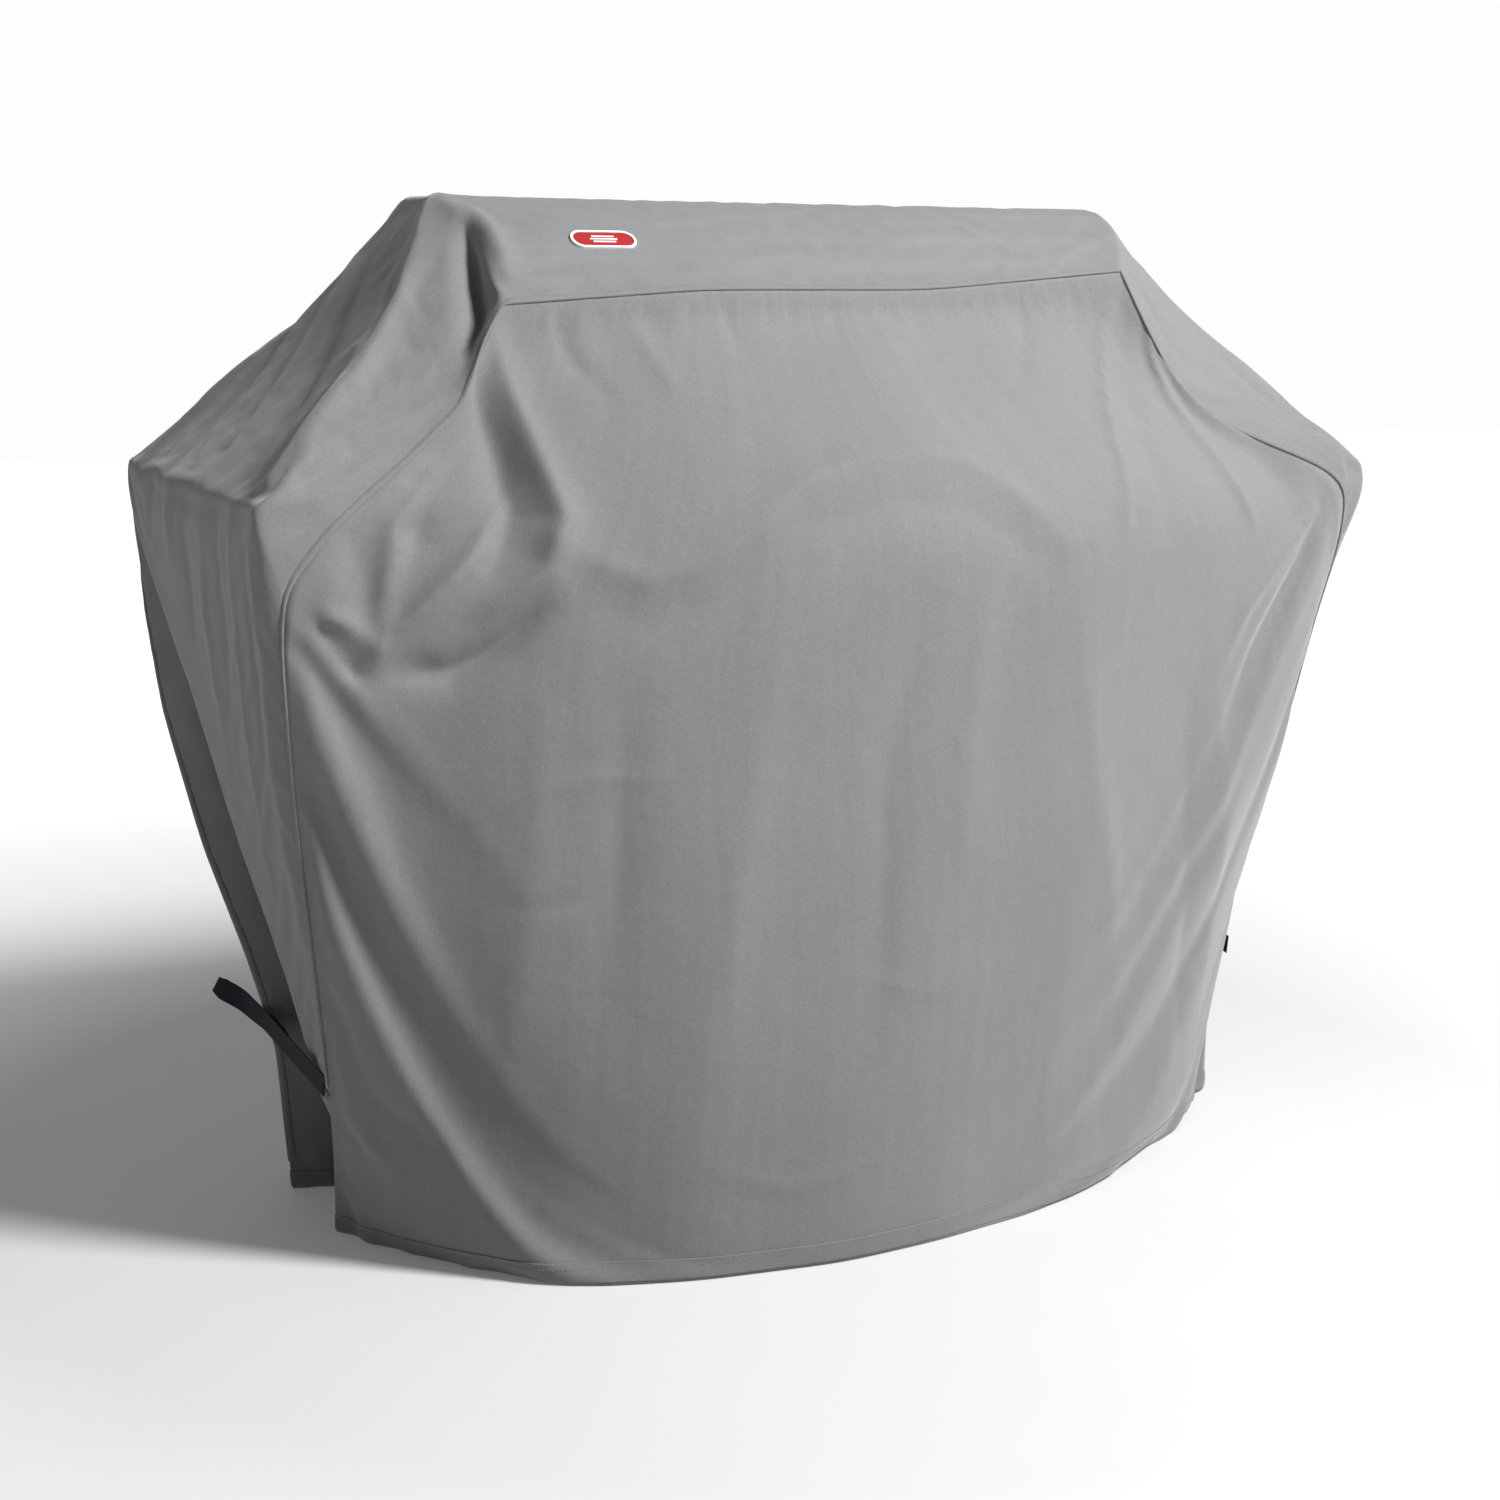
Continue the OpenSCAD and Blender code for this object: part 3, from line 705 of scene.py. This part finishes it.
def finish_cloth(piece, nodes):
    """Material and thickness for a cloth, and what it stands for."""
    piece.data.materials.append(CLOTH)
    thicken(piece)
    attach(piece, "root")
    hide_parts(*nodes)


front_cloth = grid_mesh("front_cloth", front_grid)
back_cloth = grid_mesh("back_cloth", back_grid, flip=True)
band_cloth = grid_mesh("band_cloth", band_grid, flip=True)


def hold_of(grid, seams, base, hem=0.25):
    """How firmly each point keeps its place while the panel relaxes: 1 on the seams."""
    hold = np.full(grid.shape[:2], base)
    hold = np.maximum(hold, 1 - seams)
    low = 1 - smoothstep(grid[..., 2], 0.0, 0.05)
    return np.clip(np.maximum(hold, hem * low), 0, 1)


front_hold = hold_of(front_grid, edge_fade(front_grid.shape, 2), 0.06)
back_hold = hold_of(back_grid, edge_fade(back_grid.shape, 2), 0.03)
band_hold = hold_of(band_grid, edge_fade(band_grid.shape, 2, hem_free=False), 0.3)
front_grid = relax(front_cloth, front_hold).reshape(front_grid.shape)
back_grid = relax(back_cloth, back_hold).reshape(back_grid.shape)
band_grid = relax(band_cloth, band_hold, grow=0.008, cap=0.007).reshape(band_grid.shape)


def plate(node):
    """Centre of a thin flat CAD node's lower face, and its upward direction."""
    points = points_of(frame["nodes"][node])
    centre = points.mean(axis=0)
    up = np.linalg.svd(points - centre)[2][2]
    up *= np.sign(up[2])
    return centre + up * ((points - centre) @ up).min(), up


def seat(grid, node, near, far):
    """Draws the cloth flat under a plate, up to near from its centre, and fades that out to far."""
    base, up = plate(node)
    gap = (grid - base) @ up
    away = np.linalg.norm((grid - base) * np.array([0.6, 1, 1]), axis=-1)
    share = 1 - smoothstep(away, near, far)
    return grid - (share * (gap + 0.0002))[..., None] * up


band_grid = seat(band_grid, "badge_face", 0.034, 0.075)
for piece, grid in ((front_cloth, front_grid), (back_cloth, back_grid), (band_cloth, band_grid)):
    grid[..., 2] = np.maximum(grid[..., 2], FOOT)
    put(piece, grid)
finish_cloth(front_cloth, ["front_panel"])
finish_cloth(back_cloth, ["back_panel"])
finish_cloth(band_cloth, ["crown_panel", "left_shoulder_panel", "right_shoulder_panel",
                          "left_end_panel", "right_end_panel"])

# ---- hems ---------------------------------------------------------------------------


def at_height(columns, height):
    """The points at one height up a panel's lowest rows."""
    return np.array([
        [np.interp(height, column[:, 2], column[:, k]) for k in range(2)] + [height]
        for column in columns.transpose(1, 0, 2)
    ])


HEM_LEVELS = [0.0034, 0.006, 0.012, 0.018, 0.0225, HEM_H]
HEM_SWELL = np.array([0.0007, 0.0014, 0.0017, 0.0014, 0.0011, 0.0013])
HEM_STITCHED = 3     # the level that the stitches run along
HEM_T = 0.0036


def hem(name, rows, node, flat):
    """The turned hem: a thicker strip outside the panel's foot, with a stitch line near its top."""
    strip = np.array([at_height(rows, level) for level in HEM_LEVELS])
    outward = grid_normals(strip)
    strip += outward * HEM_SWELL[:, None, None]
    strip[0, :, 2] = HEM_LEVELS[0]
    flip = node != "front_hem"
    piece = grid_mesh(name, strip, flip)
    piece.data.materials.append(HEM)
    thicken(piece, HEM_T)
    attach(piece, "root")
    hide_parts(node)
    up = outward[HEM_STITCHED]
    thread = stitches(name + "_stitches", strip[HEM_STITCHED] + up * 0.0002, up)
    thread.data.materials.append(THREAD)
    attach(thread, "root")


hem("front_turned_hem", front_grid[:6], "front_hem", (HEM_H, 1.5))
hem("back_turned_hem", back_grid[:6], "back_hem", (HEM_H, 1.5))
hem("left_turned_hem", band_grid[:6], "left_end_hem", (HEM_H, BAND_W))
hem("right_turned_hem", band_grid[::-1][:6], "right_end_hem", (HEM_H, BAND_W))

# ---- seams --------------------------------------------------------------------------


def wall_outward(wall_grid):
    """A wall's outward directions at the band's stations: up the left seam, over the hood and down."""
    normals = grid_normals(wall_grid)
    at = np.linspace(0, 1, N_CROWN + 1)[1:-1]
    across = np.linspace(0, 1, N_WALL + 1)
    hood = np.stack([np.interp(at, across, normals[-1, :, k]) for k in range(3)], axis=1)
    return np.concatenate([normals[:, 1], hood, normals[::-1, -2]])


def seam_line(column, wall_grid, low):
    """Points along a seam, with the band's outward, into-the-band and inward directions."""
    edge = band_grid[:, column]
    into = band_grid[:, 3 if column == 0 else -4] - edge
    into /= np.linalg.norm(into, axis=1, keepdims=True)
    outward = grid_normals(band_grid)[:, 1 if column == 0 else -2]
    inward = -outward - wall_outward(wall_grid)
    inward /= np.linalg.norm(inward, axis=1, keepdims=True)
    keep = edge[:, 2] > low
    return edge[keep], outward[keep], into[keep], inward[keep]


# Sections of the seam's lap (into the band, out of it) and of its binding tape (inwards, sideways)
LIP = [(-0.0016, -0.0008), (-0.0019, 0.0006), (-0.0008, 0.0019), (0.003, 0.0021),
       (0.006, 0.0014), (0.008, 0.0002), (0.008, -0.001), (0.003, -0.0012)]
TAPE = [(0.003, -0.0006), (0.003, 0.0006), (0.008, 0.0009), (0.013, 0.0007),
        (0.013, -0.0007), (0.008, -0.0009)]
STITCH_IN, STITCH_OUT = 0.0052, 0.0016     # where the stitches lie on the lap


def seam_pieces(name, column, wall_grid, node, low):
    """A seam's lap, its stitches and the binding tape inside it."""
    edge, outward, into, inward = seam_line(column, wall_grid, low)
    loops = [[point + a * go + b * up for a, b in LIP]
             for point, up, go in zip(edge, outward, into)]
    lip = loft(name + "_seam_lip", loops)
    lip.data.materials.append(HEM)
    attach(lip, "root")
    line = edge + STITCH_IN * into + STITCH_OUT * outward
    thread = stitches(name + "_seam_stitches", line, outward)
    thread.data.materials.append(THREAD)
    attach(thread, "root")
    along = np.gradient(edge, axis=0)
    across = np.cross(along, inward)
    across /= np.linalg.norm(across, axis=1, keepdims=True)
    loops = [[point + a * deep + b * flat for a, b in TAPE]
             for point, deep, flat in zip(edge, inward, across)]
    tape = loft(name + "_binding_tape", loops)
    tape.data.materials.append(BINDING)
    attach(tape, "root")
    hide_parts(node)


seam_pieces("front", 0, front_grid, "front_seam_binding", SLIT_H * SCALE[2])
seam_pieces("back", -1, back_grid, "back_seam_binding", 0.03)

# ---- straps ---------------------------------------------------------------------------

joints = {joint["name"]: np.array(joint["pos_m"]) for joint in frame["joints"]}
STRAP_W = 0.025
STRAP_T = 0.0015
SEAM_START = 0.006   # from a strap's hinge to its first visible point
FRONT_L = 0.3
BACK_L = 0.058
FRONT_OUT = 0.00085  # from the hinges' line out to the front half's middle
BACK_OUT = -0.00235  # and to the back half's middle


def webbing(name, path, outward):
    """Webbing with rounded, slightly thicker edges, narrowed at its cut end, along a path."""
    along = np.gradient(path, axis=0)
    up = np.cross(along, outward)
    up /= np.linalg.norm(up, axis=1, keepdims=True)
    up *= np.sign(up[:, 2:3])
    out = np.cross(up, along)
    out /= np.linalg.norm(out, axis=1, keepdims=True)
    out *= np.sign(np.sum(out * outward, axis=1, keepdims=True))
    half, thick = STRAP_W / 2, STRAP_T / 2
    profile = [(-half, 0), (-half + 0.0006, thick), (-half + 0.003, thick * 0.8), (0, thick * 0.7),
               (half - 0.003, thick * 0.8), (half - 0.0006, thick), (half, 0),
               (half - 0.0006, -thick), (0, -thick * 0.7), (-half + 0.0006, -thick)]
    loops = []
    for k, (point, high, face) in enumerate(zip(path, up, out)):
        cut = 1 - 0.25 * max(0, k - (len(path) - 4)) / 3
        loops.append([point + a * cut * high + b * face for a, b in profile])
    return loft(name, loops)


def strap_pair(side, sign, tail):
    """Both halves of a strap. tail is how far the free tip stands out and how far it rises."""
    front = joints[side + "_strap_peel"]
    reach = joints[side + "_back_strap_swing"] - front
    line = reach / np.linalg.norm(reach)
    out = np.cross(line, [0, 0, 1]) * sign
    out /= np.linalg.norm(out)
    out *= sign * np.sign(out[0])
    lengths = np.linspace(SEAM_START, SEAM_START + FRONT_L, 61)
    closed = np.linalg.norm(reach) + 0.004
    free = np.clip((lengths - closed) / (lengths[-1] - closed), 0, 1)
    ripple = 0.0022 * np.sin(free * 9) * free
    stand = FRONT_OUT + tail[0] * free ** 1.6 + ripple
    path = front + lengths[:, None] * line + stand[:, None] * out
    path[:, 2] += tail[1] * free ** 1.5
    turn = 0.5 * free[:, None] * np.array([0, 0, 1])
    strap = webbing(side + "_front_webbing", path, out + turn)
    strap.data.materials.append(WEBBING)
    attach(strap, side + "_front_strap")
    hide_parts(side + "_front_strap")
    before = np.linspace(SEAM_START, SEAM_START + BACK_L, 16)
    path = front + (np.linalg.norm(reach) - before)[:, None] * line + BACK_OUT * out
    strap = webbing(side + "_back_webbing", path, np.tile(out, (len(path), 1)))
    strap.data.materials.append(WEBBING)
    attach(strap, side + "_back_strap")
    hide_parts(side + "_back_strap")
    for tape in ("hook", "loop"):
        cad_tape = frame["nodes"][f"{side}_{tape}_tape"]
        cad_tape.data.materials.clear()
        cad_tape.data.materials.append(HOOKS)


strap_pair("left", -1, (0.022, 0.006))
strap_pair("right", 1, (0.03, -0.03))

# ---- reinforcements and bar tacks -------------------------------------------------------


PATCH_LOW, PATCH_HIGH = 0.172, 0.236       # heights up a wall's left seam
PATCH_COLS = 8
PATCH_DEPTH = 0.0026
PATCH_T = 0.0015


def patch(name, grid, right, node):
    """A square of tape sewn inside a wall's edge, behind a strap."""
    rows = np.nonzero((grid[:, 0, 2] > PATCH_LOW) & (grid[:, 0, 2] < PATCH_HIGH))[0]
    part = grid[rows[0]:rows[-1] + 1]
    part = part[:, -1 - PATCH_COLS:-1] if right else part[:, 1:1 + PATCH_COLS]
    piece = grid_mesh(name, part - PATCH_DEPTH * grid_normals(part), flip=grid is back_grid)
    piece.data.materials.append(BINDING)
    modify(piece, "SOLIDIFY", thickness=PATCH_T, offset=-1)
    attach(piece, "root")
    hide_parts(node)


for side, right in (("left", False), ("right", True)):
    patch(side + "_front_reinforcement", front_grid, right, side + "_front_patch")
    patch(side + "_back_reinforcement", back_grid, right, side + "_back_patch")


TACK_THREADS = 9
TACK_STEP = 0.0007
TACK_HALF = 0.006


def bar_tacks():
    """A dense bar of thread across the top of each front corner slit."""
    corners = []
    for rows in (band_grid[:N_DOWN], band_grid[::-1][:N_DOWN]):
        edge = rows[:, 0]
        k = int(np.argmin(np.abs(edge[:, 2] - SLIT_H)))
        up = grid_normals(rows)[k, 1]
        go = rows[k, 1] - edge[k]
        go /= np.linalg.norm(go)
        side = np.cross(go, up)
        side *= 0.00035 / np.linalg.norm(side)
        for step in range(TACK_THREADS):
            rise_by = TACK_STEP * (step - TACK_THREADS // 2)
            mid = edge[k] + 0.0024 * up + np.array([0, 0, rise_by])
            corners.append([mid - TACK_HALF * go, mid + TACK_HALF * go, mid + side, mid - side,
                            mid + 0.0005 * up, mid - 0.0012 * up])
    piece = stitch_mesh("bar_tacks", corners)
    piece.data.materials.append(THREAD)
    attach(piece, "root")
    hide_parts("slit_bar_tacks")


bar_tacks()

# ---- badge ------------------------------------------------------------------------

for node, material in {"badge_rim": SILVER, "badge_bars": SILVER, "badge_face": RED}.items():
    frame["nodes"][node].data.materials.clear()
    frame["nodes"][node].data.materials.append(material)

# ---- floor, light and camera --------------------------------------------------------


def area_light(name, place, aim, size, power):
    """A round soft light at a place, turned to its aim."""
    lamp = bpy.data.lights.new(name, "AREA")
    lamp.shape = "DISK"
    lamp.size = size
    lamp.energy = power
    obj = bpy.data.objects.new(name, lamp)
    obj.location = place
    direction = np.array(aim) - np.array(place)
    yaw = math.atan2(direction[1], direction[0]) - math.pi / 2
    pitch = math.atan2(direction[2], math.hypot(direction[0], direction[1]))
    obj.rotation_euler = (math.pi / 2 + pitch, 0, yaw)
    bpy.context.scene.collection.objects.link(obj)


FLOOR_REACH = 12


def floor():
    """A pale floor with painted light: it glows faintly near the cover and more brightly away from it,
    standing in for a lit studio floor.
    """
    sides = [(-1, -1), (1, -1), (1, 1), (-1, 1)]
    corners = [(FLOOR_REACH * x, FLOOR_REACH * y, 0) for x, y in sides]
    obj = mesh_piece("floor", corners, [(0, 1, 2, 3)])
    nodes = Nodes("pale_floor", (0.46, 0.46, 0.46), 0.9, Emission_Color=(1, 1, 1, 1))
    place = nodes.add("TexCoord").outputs["Object"]
    nodes.feed(nodes.shader.inputs["Base Color"],
               nodes.blend(nodes.noise(place, 3.0), (0.45, 0.45, 0.45, 1), (0.47, 0.47, 0.47, 1)))
    away = nodes.add("VectorMath", {"operation": "LENGTH"}, i0=place).outputs["Value"]
    # painted light: emission that rises from 0.1 near the cover to 0.9 away from it, standing in for
    # the lit floor
    painted_floor_glow = nodes.add("MapRange", Value=away, From_Min=1.0, From_Max=3.2, To_Min=0.1, To_Max=0.9)
    nodes.feed(nodes.shader.inputs["Emission Strength"], painted_floor_glow.outputs[0])
    obj.data.materials.append(nodes.material)


floor()
area_light("key", (2.0, -3.0, 4.3), (0, -0.1, 0.6), 1.3, 570)


def pale_world():
    """A pale surround, dim around the cover and bright behind it, as from a lit studio backdrop."""
    world = bpy.data.worlds.new("pale_world")
    world.use_nodes = True
    tree = world.node_tree
    where = tree.nodes.new("ShaderNodeTexCoord")
    facing = tree.nodes.new("ShaderNodeVectorMath")
    facing.operation = "DOT_PRODUCT"
    facing.inputs[1].default_value = (0.46, 0.89, 0)
    level = tree.nodes.new("ShaderNodeMapRange")
    for socket, value in {"From Min": 0.6, "From Max": 0.95, "To Min": 0.18, "To Max": 1.0}.items():
        level.inputs[socket].default_value = value
    tree.links.new(where.outputs["Generated"], facing.inputs[0])
    tree.links.new(facing.outputs["Value"], level.inputs["Value"])
    tree.links.new(level.outputs[0], tree.nodes["Background"].inputs["Strength"])
    tree.nodes["Background"].inputs["Color"].default_value = (0.98, 0.985, 1, 1)
    bpy.context.scene.world = world


pale_world()
bpy.context.scene.view_settings.view_transform = "Standard"

camera_data = bpy.data.cameras.new("camera")
camera_data.lens = 64.75
camera_data.sensor_width = 36
camera = bpy.data.objects.new("camera", camera_data)
camera.location = (-1.544, -2.896, 1.090)
turn = Matrix.Rotation(math.radians(-27.3), 3, "Z") @ Matrix.Rotation(math.radians(79.8), 3, "X")
camera.rotation_euler = (turn @ Matrix.Rotation(math.radians(0.6), 3, "Z")).to_euler()
bpy.context.scene.collection.objects.link(camera)
bpy.context.scene.camera = camera
